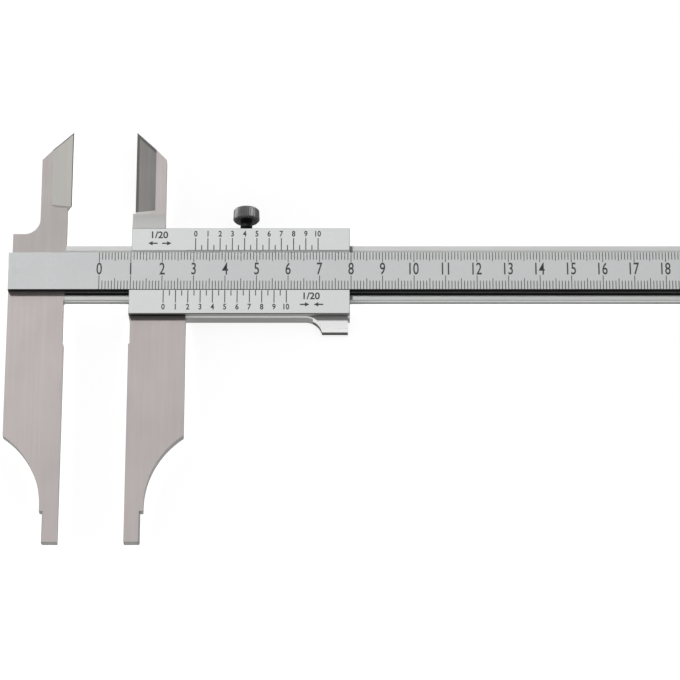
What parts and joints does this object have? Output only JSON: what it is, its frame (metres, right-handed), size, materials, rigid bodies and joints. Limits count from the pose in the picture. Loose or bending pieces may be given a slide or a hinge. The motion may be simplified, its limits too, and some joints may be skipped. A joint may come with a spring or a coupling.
{
  "type": "workshop vernier caliper",
  "caption": "Flat steel sliding caliper with a ruled beam, long nibbed jaws below, knife points above and a knurled lock screw on the slider.",
  "frame": {"origin": "on the fixed measuring face, level with the beam's lower edge and half way through the jaw's thickness", "axes": "+X along the beam, the way the slider opens; +Y across the beam, towards the knife points; +Z out of the scale face"},
  "size_m": [0.3522, 0.1391, 0.0085],
  "materials": {
    "beam_steel": "satin, fine cross grain",
    "jaw_steel": "ground, fine grain along the jaws",
    "scale_steel": "satin, non-glare",
    "rivet_steel": "ground flush",
    "screw_steel": "turned, bright",
    "black_steel": "burnished, knurled",
    "brass": "milled"
  },
  "bodies": {
    "beam_assembly": {"beam": "beam_steel", "fixed_jaw": "jaw_steel", "jaw_rivets": "rivet_steel", "end_stop": "jaw_steel", "end_stop_screws": "screw_steel"},
    "slider": {"slider_body": "jaw_steel", "upper_scale_plate": "scale_steel", "lower_scale_plate": "scale_steel", "upper_plate_screws": "screw_steel", "lower_plate_screws": "screw_steel", "gib_strip": "brass", "gib_set_screws": "black_steel"},
    "pad": {"lock_pad": "brass"},
    "lock": {"lock_screw": "black_steel", "lock_knob": "black_steel"}
  },
  "joints": [
    {"name": "slider_slide", "type": "slide", "parent": "beam_assembly", "child": "slider", "axis": [1, 0, 0], "range_m": [-0.0205, 0.2295]},
    {"name": "lock_travel", "type": "slide", "parent": "slider", "child": "pad", "axis": [0, 1, 0], "range_m": [0, 0.001]},
    {"name": "lock_turn", "type": "hinge", "parent": "pad", "child": "lock", "pos_m": [0.0574, 0.0274, 0.00015], "axis": [0, 1, 0], "range_deg": [0, 720]}
  ],
  "couplings": [
    {"joint": "lock_turn", "follows": "lock_travel", "rad_per_m": 12566}
  ]
}
